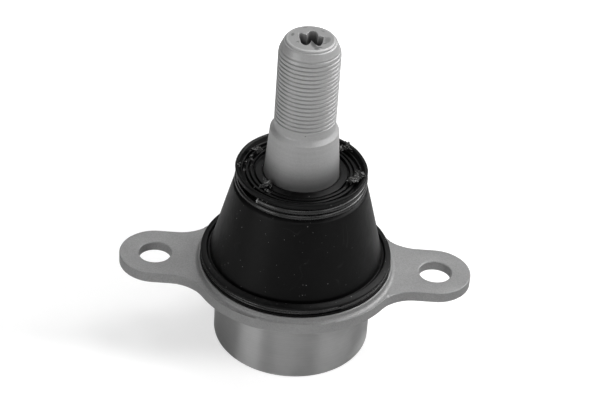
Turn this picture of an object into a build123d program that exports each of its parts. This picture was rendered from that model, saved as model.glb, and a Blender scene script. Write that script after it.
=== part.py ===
from build123d import *
from math import cos, radians, sqrt, tan
import os

# Suspension ball joint: a forged housing with a round barrel and a two-eared bolt flange,
# a ball stud with a taper and a threaded end, and a rubber dust boot between the two.
# All lengths are millimetres. The origin is the centre of the ball, +Z runs up along the
# stud, and the two ears point along X.

os.makedirs("parts", exist_ok=True)

# --- Ball stud -------------------------------------------------------------------------
BALL_R = 15.0
BALL_FLAT_R = 4.0        # small turned flat under the ball
NECK_R = 8.5
NECK_ROOT_R = 1.0        # rounding where the neck leaves the ball
NECK_TOP = 18.0          # end of the plain neck, above the ball centre
FLARE_L = 12.0           # rise from the neck to the shank
FLARE_R = 8.0            # rounding at both ends of the flare
SHANK_R = 12.4
SHANK_L = 14.0
TAPER_L = 16.6
TAPER_RATE = 0.15        # loss of diameter for each unit of length
SHOULDER_L = 1.5         # chamfer between the taper and the plain band
BAND_L = 2.1             # plain band below the thread
THREAD_R = 10.0
THREAD_L = 25.8
TIP_L = 3.5              # rounded lead of the thread
TIP_R = 8.4
TIP_ROOT_R = 5.0
BOSS_FOOT_R = 8.0        # boss on the end of the thread
BOSS_R = 7.9
BOSS_H = 0.8

# --- Six-lobed drive socket in the end of the stud -------------------------------------
LOBES = 6
LOBE_REACH = 4.85        # centre to the bottom of a lobe
LOBE_R = 0.95
SOCKET_CORE_R = 3.2
SOCKET_DEPTH = 7.0

# --- Swing and running fits ------------------------------------------------------------
SWING = 22.0             # degrees from upright, in every direction
BALL_FIT = 0.10          # radial play between the ball and its shells
SHELL_FIT = 0.05         # radial play between the shells and the housing
SEAT_FIT = 0.05          # play between pieces that are clamped together
MOUTH_GAP = 0.6          # left between the neck and the mouth at full swing
MOUTH_FLARE = 2.4        # extra opening at the upper end of the mouth

# --- Bearing shells --------------------------------------------------------------------
SHELL_WALL = 3.3
SHELL_FLOOR = 2.1
SHELL_TOP = 8.5          # upper end of the upper shell
SHELL_SHOULDER = 3.0     # height at which its outside starts to close in
SHELL_RIM_W = 1.6        # width of its upper end face
SHELL_SPLIT = 0.3        # gap between the two shells
GREASE_HOLE_R = 3.5

# --- Preload spring, cover plate and seal ----------------------------------------------
SPRING_H = 1.3
SPRING_T = 0.7
SPRING_IN_R = 8.0
SPRING_OUT_R = 15.5
PLATE_T = 2.7
PLATE_DISH_R = 11.0
PLATE_DISH_H = 0.8
ROLLED_WALL = 3.4        # wall left around the cover plate
ROLLED_LIP_T = 1.3
ROLLED_LIP_W = 2.4       # how far the lip reaches over the plate
SEAL_R = 0.6             # section radius of the seal ring
SEAL_SQUEEZE = 0.02

# --- Housing ---------------------------------------------------------------------------
BARREL_R = 26.5
BARREL_CORNER_R = 1.5
BARREL_ROOT_R = 0.8
FLANGE_TOP = 6.5         # upper face of the flange, above the ball centre
FLANGE_T = 3.9
FLANGE_MARGIN = 0.75     # flange beyond the rim around the boot
FLANGE_STRETCH = 3.4     # how much longer the round part is towards the ears
RIM_H = 2.0
RIM_T = 0.6
RIM_ROOT_R = 1.4
EAR_SPACING = 94.8       # between the two bolt holes
EAR_R = 12.0
EAR_ROOT_R = 13.5
EAR_EDGE_R = 0.4
BOLT_R = 5.5
BOLT_CHAMFER = 0.45
COLLAR_R = 26.6          # spigot that the foot of the boot grips
COLLAR_H = 4.0

# --- Dust boot, heights above the flange's upper face ----------------------------------
BOOT_WALL = 2.2
FOOT_R = 32.0
FOOT_H = 5.2
FOOT_CREST = 0.7         # rise of the foot's upper face towards the cone
FOOT_W = 2.2
FOOT_GROOVE_W = 1.0
FOOT_GROOVE_H = 1.1
GREASE_ROOF_W = 3.25     # from the boot's neck to the inside of the cone, at its top
CONE_TOP = 33.9
RIM_OVERHANG = 0.2       # how far the rim stands out over the cone
BOOT_RIM_T = 1.25
BOOT_TOP = 39.4
RECESS_FLOOR = 36.6
RECESS_SLOPE = 0.6       # how much the recess closes in towards its floor
LIP_TOP = 37.8
LIP_W = 1.9
RIDGES = 3               # sealing ridges around the lip
RIDGE_OFFSET = 1.05      # from the lip to the first ridge
RIDGE_PITCH = 1.55
RIDGE_H = 1.1
RIDGE_W = 0.8
BOOT_NECK_WALL = 2.5
BOOT_NECK_BASE = 27.7
BOOT_FLOOR_T = 2.9
RUBBER_GAP = 0.15        # between the boot and a piece of another body

# --- Rings on the boot -----------------------------------------------------------------
LOWER_WIRE_R = 0.45
LOWER_RING_Z = 2.6       # lower side of its groove
UPPER_WIRE_R = 0.62
RING_TURNS = 2
WIRE_OVERLAP = 0.03      # the turns are pressed together by this much
SUPPORT_T = 0.85
SLEEVE_T = 0.9
SLEEVE_FLANGE_T = 1.0
SLEEVE_FLANGE_W = 2.6

# --- Sizes that follow -----------------------------------------------------------------
SHELL_BORE_R = BALL_R + BALL_FIT
SHELL_R = SHELL_BORE_R + SHELL_WALL
SHELL_BASE = -SHELL_BORE_R - SHELL_FLOOR
PLATE_TOP = SHELL_BASE - SHELL_FIT - SPRING_H
PLATE_BASE = PLATE_TOP - PLATE_T
BARREL_BASE = PLATE_BASE - ROLLED_LIP_T
PLATE_R = BARREL_R - ROLLED_WALL
FLANGE_BASE = FLANGE_TOP - FLANGE_T
RIM_IN_R = FOOT_R + SEAT_FIT
RIM_OUT_R = RIM_IN_R + RIM_T
FLANGE_R = RIM_OUT_R + FLANGE_MARGIN
COLLAR_TOP = FLANGE_TOP + COLLAR_H

SHANK_BASE = NECK_TOP + FLARE_L
TAPER_BASE = SHANK_BASE + SHANK_L
TAPER_TOP = TAPER_BASE + TAPER_L
TAPER_TOP_R = SHANK_R - TAPER_L * TAPER_RATE / 2
SHOULDER_TOP = TAPER_TOP + SHOULDER_L
THREAD_BASE = SHOULDER_TOP + BAND_L
THREAD_TOP = THREAD_BASE + THREAD_L
TIP_TOP = THREAD_TOP + TIP_L
STUD_TOP = TIP_TOP + BOSS_H


def neck_reach(height):
    """Distance from the axis to the neck's far side at this height, at full swing."""
    return height * tan(radians(SWING)) + NECK_R / cos(radians(SWING))


def half_section(corners):
    """Closed face in the XZ plane from corners given as (radius, height, rounding)."""
    with BuildSketch(Plane.XZ) as section:
        with BuildLine():
            points = [(radius, height) for radius, height, _ in corners]
            roundings = [rounding for _, _, rounding in corners]
            FilletPolyline(*points, radius=roundings, close=True)
        make_face()
    return section.sketch


def wire_section(radius, lowest, wire_r):
    """Circles of a wound wire ring, one above the other, on a ring of this radius."""
    pitch = 2 * wire_r - WIRE_OVERLAP
    with BuildSketch(Plane.XZ) as section:
        for turn in range(RING_TURNS):
            with Locations((radius, lowest + wire_r + turn * pitch)):
                Circle(wire_r)
    return section.sketch


def ring_height(wire_r):
    """Height of the whole wound ring."""
    return 2 * wire_r + (RING_TURNS - 1) * (2 * wire_r - WIRE_OVERLAP)


# --- ball_stud: ball, neck, shank, taper and thread turned from one forging -------------
with BuildPart() as ball_stud:
    Sphere(BALL_R)
    flat_depth = BALL_R - sqrt(BALL_R**2 - BALL_FLAT_R**2)
    with Locations((0, 0, -BALL_R)):
        Cylinder(BALL_R, 2 * flat_depth, mode=Mode.SUBTRACT)
    neck_base = sqrt(BALL_R**2 - NECK_R**2)
    revolve(
        half_section(
            [
                (0, 0, 0),
                (NECK_R, 0, 0),
                (NECK_R, NECK_TOP, FLARE_R),
                (SHANK_R, SHANK_BASE, FLARE_R),
                (SHANK_R, TAPER_BASE, 0),
                (TAPER_TOP_R, TAPER_TOP, 0.3),
                (THREAD_R, SHOULDER_TOP, 0.3),
                (THREAD_R, THREAD_TOP, TIP_ROOT_R),
                (TIP_R, TIP_TOP, 0.4),
                (BOSS_FOOT_R, TIP_TOP, 0),
                (BOSS_R, STUD_TOP, 0.4),
                (0, STUD_TOP, 0),
            ]
        ),
        axis=Axis.Z,
    )
    neck_root = ball_stud.edges().filter_by(GeomType.CIRCLE).sort_by(
        lambda edge: abs(edge.center().Z - neck_base) + abs(edge.radius - NECK_R)
    )[0]
    fillet(neck_root, NECK_ROOT_R)
    with BuildSketch(Plane.XY.offset(STUD_TOP)) as socket:
        Circle(SOCKET_CORE_R)
        with PolarLocations(0, LOBES // 2, start_angle=90):
            SlotOverall(2 * LOBE_REACH, 2 * LOBE_R)
    extrude(amount=-SOCKET_DEPTH, mode=Mode.SUBTRACT)

# --- upper_bearing_shell: plastic ring that holds the ball down --------------------------
with BuildPart() as upper_bearing_shell:
    mouth_r = neck_reach(SHELL_TOP) + MOUTH_GAP
    revolve(
        half_section(
            [
                (mouth_r, SHELL_SPLIT / 2, 0),
                (SHELL_R, SHELL_SPLIT / 2, 0.4),
                (SHELL_R, SHELL_SHOULDER, 1.0),
                (mouth_r + SHELL_RIM_W, SHELL_TOP, 0.3),
                (mouth_r, SHELL_TOP, 0.2),
            ]
        ),
        axis=Axis.Z,
    )
    Sphere(SHELL_BORE_R, mode=Mode.SUBTRACT)

# --- lower_bearing_shell: plastic cup under the ball, with a grease hole ----------------
with BuildPart() as lower_bearing_shell:
    revolve(
        half_section(
            [
                (GREASE_HOLE_R, SHELL_BASE, 0.3),
                (SHELL_R, SHELL_BASE, 2.5),
                (SHELL_R, -SHELL_SPLIT / 2, 0.4),
                (GREASE_HOLE_R, -SHELL_SPLIT / 2, 0),
            ]
        ),
        axis=Axis.Z,
    )
    Sphere(SHELL_BORE_R, mode=Mode.SUBTRACT)

# --- disc_spring: coned washer that presses the lower shell up --------------------------
with BuildPart() as disc_spring:
    spring_top = PLATE_TOP + SPRING_H
    revolve(
        half_section(
            [
                (SPRING_OUT_R, PLATE_TOP, 0),
                (SPRING_OUT_R, PLATE_TOP + SPRING_T, 0),
                (SPRING_IN_R, spring_top, 0),
                (SPRING_IN_R, spring_top - SPRING_T, 0),
            ]
        ),
        axis=Axis.Z,
    )

# --- cover_plate: pressed disc that closes the barrel from below ------------------------
with BuildPart() as cover_plate:
    revolve(
        half_section(
            [
                (0, PLATE_TOP, 0),
                (0, PLATE_BASE - PLATE_DISH_H, 0),
                (PLATE_DISH_R, PLATE_BASE - PLATE_DISH_H, 1.0),
                (PLATE_DISH_R + 2 * PLATE_DISH_H, PLATE_BASE, 1.0),
                (PLATE_R, PLATE_BASE, 0.2),
                (PLATE_R, PLATE_TOP, 0.2),
            ]
        ),
        axis=Axis.Z,
    )

# --- cover_seal: rubber ring between the cover plate and the housing --------------------
seal_ring_r = (SHELL_R + SHELL_FIT + PLATE_R) / 2
with BuildPart() as cover_seal:
    with BuildSketch(Plane.XZ):
        with Locations((seal_ring_r, PLATE_TOP + SEAL_R + SEAL_SQUEEZE)):
            Circle(SEAL_R)
    revolve(axis=Axis.Z)

# --- housing: forging with barrel, flange, ears, rim and spigot -------------------------
with BuildPart() as housing:
    with BuildSketch(Plane.XY.offset(FLANGE_BASE)) as plate_outline:
        SlotCenterToCenter(FLANGE_STRETCH, 2 * FLANGE_R)
        Rectangle(EAR_SPACING, 2 * EAR_R)
        with Locations((-EAR_SPACING / 2, 0), (EAR_SPACING / 2, 0)):
            Circle(EAR_R)
        root_x = FLANGE_STRETCH / 2 + sqrt(FLANGE_R**2 - EAR_R**2)
        ear_roots = plate_outline.vertices().filter_by(lambda corner: abs(abs(corner.X) - root_x) < 0.01)
        fillet(ear_roots, EAR_ROOT_R)
    extrude(amount=FLANGE_T)
    edge_loops = housing.edges().filter_by(lambda edge: edge.length > 0.01)
    fillet(edge_loops.group_by(Axis.Z)[-1] + edge_loops.group_by(Axis.Z)[0], EAR_EDGE_R)
    rim_top = FLANGE_TOP + RIM_H
    rim_foot = FLANGE_TOP - FLANGE_T / 2
    revolve(
        half_section(
            [
                (RIM_IN_R, rim_foot, 0),
                (RIM_IN_R, rim_top, RIM_T / 3),
                (RIM_OUT_R, rim_top, RIM_T / 3),
                (RIM_OUT_R, FLANGE_TOP, RIM_ROOT_R),
                (RIM_OUT_R + 2 * RIM_ROOT_R, FLANGE_TOP, 0),
                (RIM_OUT_R + 2 * RIM_ROOT_R, rim_foot, 0),
            ]
        ),
        axis=Axis.Z,
    )
    extrude(plate_outline.sketch, amount=FLANGE_T + RIM_H, mode=Mode.INTERSECT)
    barrel_and_spigot = half_section(
        [
            (0, BARREL_BASE, 0),
            (BARREL_R, BARREL_BASE, BARREL_CORNER_R),
            (BARREL_R, FLANGE_BASE, BARREL_ROOT_R),
            (BARREL_R + 2 * BARREL_ROOT_R, FLANGE_BASE, 0),
            (BARREL_R + 2 * BARREL_ROOT_R, FLANGE_TOP, 0),
            (COLLAR_R, FLANGE_TOP, 0),
            (COLLAR_R, COLLAR_TOP, 0.6),
            (0, COLLAR_TOP, 0),
        ]
    )
    revolve(barrel_and_spigot, axis=Axis.Z)
    cavity_r = SHELL_R + SHELL_FIT
    mouth_r = neck_reach(SHELL_TOP) + MOUTH_GAP + SHELL_FIT
    plate_seat_r = PLATE_R + SEAT_FIT
    lip_r = PLATE_R - ROLLED_LIP_W
    seal_in_r = seal_ring_r - SEAL_R - SEAT_FIT
    seal_out_r = seal_ring_r + SEAL_R + SEAT_FIT
    seal_top = PLATE_TOP + 2 * SEAL_R + 2 * SEAT_FIT
    revolve(
        half_section(
            [
                (0, BARREL_BASE - 1, 0),
                (lip_r, BARREL_BASE - 1, 0),
                (lip_r, PLATE_BASE, 0),
                (plate_seat_r, PLATE_BASE, 0),
                (plate_seat_r, PLATE_TOP, 0),
                (seal_out_r, PLATE_TOP, 0),
                (seal_out_r, seal_top, 0),
                (seal_in_r, seal_top, 0),
                (seal_in_r, PLATE_TOP, 0),
                (cavity_r, PLATE_TOP, 0),
                (cavity_r, SHELL_SHOULDER + SHELL_FIT, 1.0),
                (mouth_r + SHELL_RIM_W + SHELL_FIT, SHELL_TOP + SHELL_FIT, 0),
                (mouth_r, SHELL_TOP + SHELL_FIT, 0),
                (neck_reach(COLLAR_TOP) + MOUTH_GAP + MOUTH_FLARE, COLLAR_TOP, 0),
                (0, COLLAR_TOP, 0),
            ]
        ),
        axis=Axis.Z,
        mode=Mode.SUBTRACT,
    )
    with Locations((-EAR_SPACING / 2, 0, FLANGE_TOP), (EAR_SPACING / 2, 0, FLANGE_TOP)):
        Hole(BOLT_R, depth=2 * FLANGE_T)
    bolt_edges = housing.edges().filter_by(
        lambda edge: edge.geom_type == GeomType.CIRCLE
        and abs(edge.radius - BOLT_R) < 0.01
        and abs(edge.center().X) > FLANGE_R
    )
    chamfer(bolt_edges, BOLT_CHAMFER)
    lip_edge = housing.edges().group_by(Axis.Z)[0].sort_by(SortBy.RADIUS)[0]
    chamfer(lip_edge, ROLLED_LIP_T / 2)

# --- dust_boot: rubber cone with a gripping foot and a ribbed sealing recess on top -----
lip_in_r = SHANK_R + RUBBER_GAP
neck_in_r = SHANK_R + SLEEVE_T + RUBBER_GAP
neck_out_r = neck_in_r + BOOT_NECK_WALL
cone_top_r = neck_out_r + GREASE_ROOF_W + BOOT_WALL
boot_rim_r = cone_top_r + RIM_OVERHANG
foot_in_r = COLLAR_R + SEAT_FIT
foot_base = FLANGE_TOP + SEAT_FIT
foot_top = FLANGE_TOP + FOOT_H
foot_crest = foot_top + FOOT_CREST
cone_base_r = FOOT_R - FOOT_W - FOOT_GROOVE_W
cone_top = FLANGE_TOP + CONE_TOP
lower_groove_r = FOOT_R - 2 * LOWER_WIRE_R - 3 * SEAT_FIT
lower_groove_base = FLANGE_TOP + LOWER_RING_Z
lower_groove_top = lower_groove_base + ring_height(LOWER_WIRE_R) + 2 * SEAT_FIT
upper_groove_r = cone_top_r - 2 * UPPER_WIRE_R - 2 * RUBBER_GAP
upper_groove_top = cone_top + ring_height(UPPER_WIRE_R) + 2 * RUBBER_GAP
boot_top = FLANGE_TOP + BOOT_TOP
recess_floor = FLANGE_TOP + RECESS_FLOOR
recess_r = boot_rim_r - BOOT_RIM_T
lip_top = FLANGE_TOP + LIP_TOP
neck_base_z = FLANGE_TOP + BOOT_NECK_BASE
neck_top_z = recess_floor - 0.8
floor_base = recess_floor - BOOT_FLOOR_T
cone_slope = (cone_base_r - cone_top_r) / (cone_top - foot_crest)
cone_in_base = COLLAR_TOP + FOOT_CREST
cone_in_base_r = cone_base_r - BOOT_WALL
cone_in_top_r = cone_base_r - cone_slope * (floor_base - foot_crest) - BOOT_WALL
ridges = []
for ridge in reversed(range(RIDGES)):
    ridge_r = lip_in_r + LIP_W + RIDGE_OFFSET + ridge * RIDGE_PITCH
    ridges += [
        (ridge_r + RIDGE_W / 2, recess_floor, 0),
        (ridge_r, recess_floor + RIDGE_H, RIDGE_W / 8),
        (ridge_r - RIDGE_W / 2, recess_floor, 0),
    ]
with BuildPart() as dust_boot:
    revolve(
        half_section(
            [
                (foot_in_r, foot_base, 0),
                (FOOT_R, foot_base, 0.3),
                (FOOT_R, lower_groove_base, 0),
                (lower_groove_r, lower_groove_base, 0),
                (lower_groove_r, lower_groove_top, 0),
                (FOOT_R, lower_groove_top, 0),
                (FOOT_R, foot_top, 0.2),
                (FOOT_R - FOOT_W, foot_crest, 0.15),
                (FOOT_R - FOOT_W, foot_crest - FOOT_GROOVE_H, 0.2),
                (cone_base_r, foot_crest - FOOT_GROOVE_H, 0.2),
                (cone_base_r, foot_crest, 0.3),
                (cone_top_r, cone_top, 0.3),
                (upper_groove_r, cone_top, 0),
                (upper_groove_r, upper_groove_top, 0),
                (boot_rim_r, upper_groove_top, 0.3),
                (boot_rim_r, boot_top, 0.5),
                (recess_r, boot_top, 0.5),
                (recess_r - RECESS_SLOPE, recess_floor, 0.2),
                *ridges,
                (lip_in_r + LIP_W, recess_floor, 0.2),
                (lip_in_r + LIP_W / 2, lip_top, 0.3),
                (lip_in_r, lip_top, 0.2),
                (lip_in_r, neck_top_z, 0),
                (neck_in_r, neck_top_z, 0),
                (neck_in_r, neck_base_z, 0),
                (neck_out_r, neck_base_z, 0.5),
                (neck_out_r, floor_base, 0.4),
                (cone_in_top_r, floor_base, 0.6),
                (cone_in_base_r, cone_in_base, 0),
                (foot_in_r, COLLAR_TOP, 0),
            ]
        ),
        axis=Axis.Z,
    )

# --- lower_clamp_ring and upper_clamp_ring: wire rings wound around the boot ------------
with BuildPart() as lower_clamp_ring:
    ring_r = lower_groove_r + SEAT_FIT + LOWER_WIRE_R
    revolve(wire_section(ring_r, lower_groove_base + SEAT_FIT, LOWER_WIRE_R), axis=Axis.Z)

with BuildPart() as upper_clamp_ring:
    ring_r = upper_groove_r + RUBBER_GAP + UPPER_WIRE_R
    revolve(wire_section(ring_r, cone_top + RUBBER_GAP, UPPER_WIRE_R), axis=Axis.Z)

# --- support_ring: steel angle ring that stiffens the boot's sealing face ---------------
with BuildPart() as support_ring:
    ring_in_r = neck_out_r + RUBBER_GAP
    ring_out_r = cone_in_top_r - 3 * RUBBER_GAP
    ring_top = floor_base - RUBBER_GAP
    revolve(
        half_section(
            [
                (ring_in_r, neck_base_z + SUPPORT_T, 0),
                (ring_in_r + SUPPORT_T, neck_base_z + SUPPORT_T, 0),
                (ring_in_r + SUPPORT_T, ring_top - SUPPORT_T, 0.3),
                (ring_out_r, ring_top - SUPPORT_T, 0),
                (ring_out_r, ring_top, 0),
                (ring_in_r, ring_top, 0.5),
            ]
        ),
        axis=Axis.Z,
    )

# --- slide_sleeve: flanged sleeve pressed on the shank, on which the boot's neck turns --
with BuildPart() as slide_sleeve:
    sleeve_r = SHANK_R + SLEEVE_T
    flange_base = neck_base_z - RUBBER_GAP - SLEEVE_FLANGE_T
    revolve(
        half_section(
            [
                (SHANK_R, flange_base, 0),
                (sleeve_r + SLEEVE_FLANGE_W, flange_base, 0.2),
                (sleeve_r + SLEEVE_FLANGE_W, flange_base + SLEEVE_FLANGE_T, 0.2),
                (sleeve_r, flange_base + SLEEVE_FLANGE_T, 0),
                (sleeve_r, neck_top_z - RUBBER_GAP, 0.2),
                (SHANK_R, neck_top_z - RUBBER_GAP, 0),
            ]
        ),
        axis=Axis.Z,
    )

pieces = {
    "housing": housing,
    "cover_plate": cover_plate,
    "cover_seal": cover_seal,
    "disc_spring": disc_spring,
    "lower_bearing_shell": lower_bearing_shell,
    "upper_bearing_shell": upper_bearing_shell,
    "ball_stud": ball_stud,
    "slide_sleeve": slide_sleeve,
    "dust_boot": dust_boot,
    "lower_clamp_ring": lower_clamp_ring,
    "upper_clamp_ring": upper_clamp_ring,
    "support_ring": support_ring,
}
for name, piece in pieces.items():
    piece.part.label = name
    export_step(piece.part, f"parts/{name}.step")
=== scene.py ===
"""Surfaces and finishes of a flanged suspension ball joint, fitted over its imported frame.

Lengths inside the shape functions are millimetres in the frame's own axes: the origin is the
centre of the ball, +Z runs up the stud and the two ears point along X. Meshes are in metres.
"""
import math

import bmesh
import bpy
import numpy as np
from bpy.props import FloatProperty, FloatVectorProperty, IntProperty, PointerProperty
from mathutils import Matrix, Vector


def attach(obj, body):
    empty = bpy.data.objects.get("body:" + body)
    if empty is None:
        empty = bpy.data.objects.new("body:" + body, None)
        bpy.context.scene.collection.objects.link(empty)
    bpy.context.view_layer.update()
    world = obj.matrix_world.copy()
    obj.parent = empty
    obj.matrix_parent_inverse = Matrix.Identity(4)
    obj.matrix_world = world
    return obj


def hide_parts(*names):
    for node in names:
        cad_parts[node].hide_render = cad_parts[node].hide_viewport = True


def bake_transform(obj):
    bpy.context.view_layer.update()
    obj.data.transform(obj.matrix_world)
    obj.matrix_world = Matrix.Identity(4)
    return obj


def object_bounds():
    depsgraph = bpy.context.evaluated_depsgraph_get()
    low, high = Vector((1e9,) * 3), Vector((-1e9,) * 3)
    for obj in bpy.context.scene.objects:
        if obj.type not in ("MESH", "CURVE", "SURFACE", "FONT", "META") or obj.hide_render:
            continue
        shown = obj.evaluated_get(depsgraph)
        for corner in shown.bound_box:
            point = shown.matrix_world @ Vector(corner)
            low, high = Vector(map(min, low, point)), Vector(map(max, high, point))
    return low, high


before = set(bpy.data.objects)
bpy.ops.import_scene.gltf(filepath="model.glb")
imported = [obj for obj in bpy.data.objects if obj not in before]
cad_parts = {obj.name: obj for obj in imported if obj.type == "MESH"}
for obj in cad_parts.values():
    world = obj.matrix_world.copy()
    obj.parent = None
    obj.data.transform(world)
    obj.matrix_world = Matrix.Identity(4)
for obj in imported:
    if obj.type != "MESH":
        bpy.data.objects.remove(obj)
CAD_BOX = [list(corner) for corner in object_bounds()]
MM = 0.001

bl_info = {
    "name": "Suspension ball joint",
    "version": (1, 0, 0),
    "blender": (4, 5, 0),
    "location": "View3D > Sidebar > Ball joint",
    "description": "Surfaces, finishes and studio of a flanged suspension ball joint",
    "category": "Add Mesh",
}


# --- Sizes and colours that a user would change ----------------------------------------------


def sized(name, description, millimetres):
    """Property that holds a length."""
    return FloatProperty(name=name, description=description, default=millimetres * MM, unit="LENGTH")


def coloured(name, description, red, green, blue):
    """Property that holds a colour."""
    level = (red, green, blue)
    return FloatVectorProperty(name=name, description=description, default=level, subtype="COLOR")


class StudSizes(bpy.types.PropertyGroup):
    """Sizes of the stud's surface."""

    pitch: sized("Thread pitch", "Rise of the thread in one turn", 1.5)
    thread_depth: sized("Thread depth", "From crest to root", 0.34)
    root_share: FloatProperty(
        name="Root share", description="Share of the pitch that the groove takes", default=0.42,
        subtype="FACTOR",
    )
    columns: IntProperty(name="Columns", description="Points around the stud", default=192)


class BootSizes(bpy.types.PropertyGroup):
    """Sizes of the rubber boot and of the rings on it."""

    columns: IntProperty(name="Columns", description="Points around the boot", default=224)
    waviness: sized("Waviness", "How far the moulded ridges wander", 0.16)
    upper_wire: sized("Upper wire", "Thickness of the upper ring's wire", 2.06)
    lower_wire: sized("Lower wire", "Thickness of the lower ring's wire", 0.9)


class FinishColours(bpy.types.PropertyGroup):
    """Colours of the finishes."""

    flange: coloured("Flange", "Blasted steel of the flange and ears", 0.29, 0.29, 0.29)
    barrel: coloured("Barrel", "Turned steel of the barrel", 0.475, 0.475, 0.475)
    stud: coloured("Stud", "Satin steel of the stud", 0.48, 0.48, 0.48)
    rubber: coloured("Rubber", "Rubber of the dust boot", 0.0026, 0.0026, 0.0027)
    dust: coloured("Dust", "Pale specks on the rubber", 0.13, 0.13, 0.13)


# --- Meshes from arrays ----------------------------------------------------------------------


def rounded_line(corners, arc, longest=None):
    """Points along a line of corners (radius, height, rounding), each corner an arc.

    The arc touches both neighbouring lines at rounding / tan(half the corner's angle), but never
    past most_of_run of a line, and its points turn evenly about its centre. Runs longer than
    longest are divided evenly.
    """
    nearly_straight, most_of_run = 1.55, 0.48
    corners = np.array(corners, float)
    line = [corners[0, :2]]
    for before, here, after in zip(corners[:-2], corners[1:-1], corners[2:]):
        corner, rounding = here[:2], here[2]
        back, on = before[:2] - corner, after[:2] - corner
        back_length, on_length = np.linalg.norm(back), np.linalg.norm(on)
        back, on = back / back_length, on / on_length
        half = math.acos(float(np.clip(back @ on, -1, 1))) / 2
        if rounding <= 0 or half > nearly_straight:
            line.append(corner)
            continue
        reach = min(rounding / math.tan(half), most_of_run * back_length, most_of_run * on_length)
        middle = corner + (back + on) / np.linalg.norm(back + on) * reach / math.cos(half)
        first, last = corner + back * reach - middle, corner + on * reach - middle
        turn = math.pi - 2 * half
        share = np.linspace(0, 1, arc + 1)[:, None]
        line.extend(
            middle + (first * np.sin((1 - share) * turn) + last * np.sin(share * turn)) / math.sin(turn)
        )
    line.append(corners[-1, :2])
    line = np.array(line)
    if longest:
        steps = np.maximum(1, np.ceil(np.linalg.norm(np.diff(line, axis=0), axis=1) / longest)).astype(int)
        start = np.repeat(line[:-1], steps, axis=0)
        move = np.repeat(np.diff(line, axis=0) / steps[:, None], steps, axis=0)
        count = np.arange(len(start)) - np.repeat(np.cumsum(steps) - steps, steps)
        line = np.vstack([start + move * count[:, None], line[-1:]])
    return line


def turned(profile, columns):
    """Grid of a profile (radius, height) turned once about +Z: x = r cos a, y = r sin a, z = h."""
    angle = np.linspace(0, 2 * np.pi, columns + 1)
    radius, height = profile[:, :1], profile[:, 1:]
    return np.stack([radius * np.cos(angle), radius * np.sin(angle), height + 0 * angle], axis=-1)


def skin(name, grids, material, sharp=32.0, values=None):
    """Object whose mesh joins each grid's neighbouring points with a face, in metres.

    Each face is (row, column), (row, next column), (next row, next column), (next row, column),
    and points of all the grids that coincide become one, which closes seams and poles. values
    holds named arrays with one number for each grid point, kept as attributes.
    """
    weld = 2e-7
    points, faces, first = [], [], 0
    for grid in grids:
        rows, columns = grid.shape[:2]
        index = first + np.arange(rows * columns).reshape(rows, columns)
        around = [index[:-1, :-1], index[:-1, 1:], index[1:, 1:], index[1:, :-1]]
        faces.append(np.stack(around, axis=-1).reshape(-1, 4))
        points.append(grid.reshape(-1, 3))
        first += rows * columns
    mesh = bpy.data.meshes.new(name)
    mesh.from_pydata(np.vstack(points) * MM, [], np.vstack(faces))
    for key, value in (values or {}).items():
        mesh.attributes.new(key, "FLOAT", "POINT").data.foreach_set("value", value.astype(np.float32))
    work = bmesh.new()
    work.from_mesh(mesh)
    bmesh.ops.remove_doubles(work, verts=work.verts, dist=weld)
    work.to_mesh(mesh)
    work.free()
    mesh.shade_smooth()
    mesh.set_sharp_from_angle(angle=math.radians(sharp))
    mesh.materials.append(material)
    made = bpy.data.objects.new(name, mesh)
    bpy.context.scene.collection.objects.link(made)
    return made


def wander(places, seed, waves, slowest, fastest):
    """Smooth noise from -1 to 1 that closes over each whole number: a sum of sines of places."""
    draw = np.random.default_rng(seed)
    total = np.zeros_like(places, dtype=float)
    for count in draw.integers(slowest, fastest + 1, waves):
        total += np.sin(2 * np.pi * (count * places + draw.random())) / waves
    return total


def tube(path, radius, around):
    """Grid of a round tube: at each path point a circle in the plane square to the path.

    The circle's axes are the path's own sideways direction (path x up) and their cross product.
    The radius may be one number or one for each point, and each end closes on the path.
    """
    path = np.asarray(path, float)
    radius = np.broadcast_to(np.asarray(radius, float), len(path))
    ahead = np.gradient(path, axis=0)
    ahead /= np.linalg.norm(ahead, axis=1)[:, None]
    side = np.cross(ahead, [0.0, 0.0, 1.0])
    side /= np.linalg.norm(side, axis=1)[:, None]
    lift = np.cross(side, ahead)
    angle = np.linspace(0, 2 * np.pi, around + 1)[None, :, None]
    ring = side[:, None] * np.cos(angle) + lift[:, None] * np.sin(angle)
    grid = path[:, None] + ring * radius[:, None, None]
    ends = np.repeat(path[[0, -1], None], around + 1, axis=1)
    return np.concatenate([ends[:1], grid, ends[1:]])


# --- Material nodes --------------------------------------------------------------------------

FLOAT, VECTOR = "NodeSocketFloat", "NodeSocketVector"


def grey(level):
    """Neutral colour, opaque."""
    return (level, level, level, 1)


def fill(tree, node, inputs):
    """Set each named input of a node to a value, or link it to another node's output."""
    for key, value in inputs.items():
        if isinstance(value, bpy.types.NodeSocket):
            tree.links.new(value, node.inputs[key])
        else:
            node.inputs[key].default_value = value


def add(tree, kind, inputs=None, **settings):
    """A node with its settings and inputs."""
    made = tree.nodes.new(kind)
    for key, value in settings.items():
        setattr(made, key, value)
    fill(tree, made, inputs or {})
    return made


def spread(tree, value, low, high, bottom=0.0, top=1.0):
    """Value from low..high carried to bottom..top with a soft start and end."""
    ends = {"Value": value, "From Min": low, "From Max": high, "To Min": bottom, "To Max": top}
    return add(tree, "ShaderNodeMapRange", ends, interpolation_type="SMOOTHSTEP").outputs["Result"]


def reckon(tree, kind, first, second=0.0):
    """Result of a Math node of that kind."""
    return add(tree, "ShaderNodeMath", {0: first, 1: second}, operation=kind).outputs[0]


def blend_colour(tree, mask, first, second):
    """Colour first where mask is 0 and second where it is 1."""
    return add(tree, "ShaderNodeMix", {0: mask, 6: first, 7: second}, data_type="RGBA").outputs[2]


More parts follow.
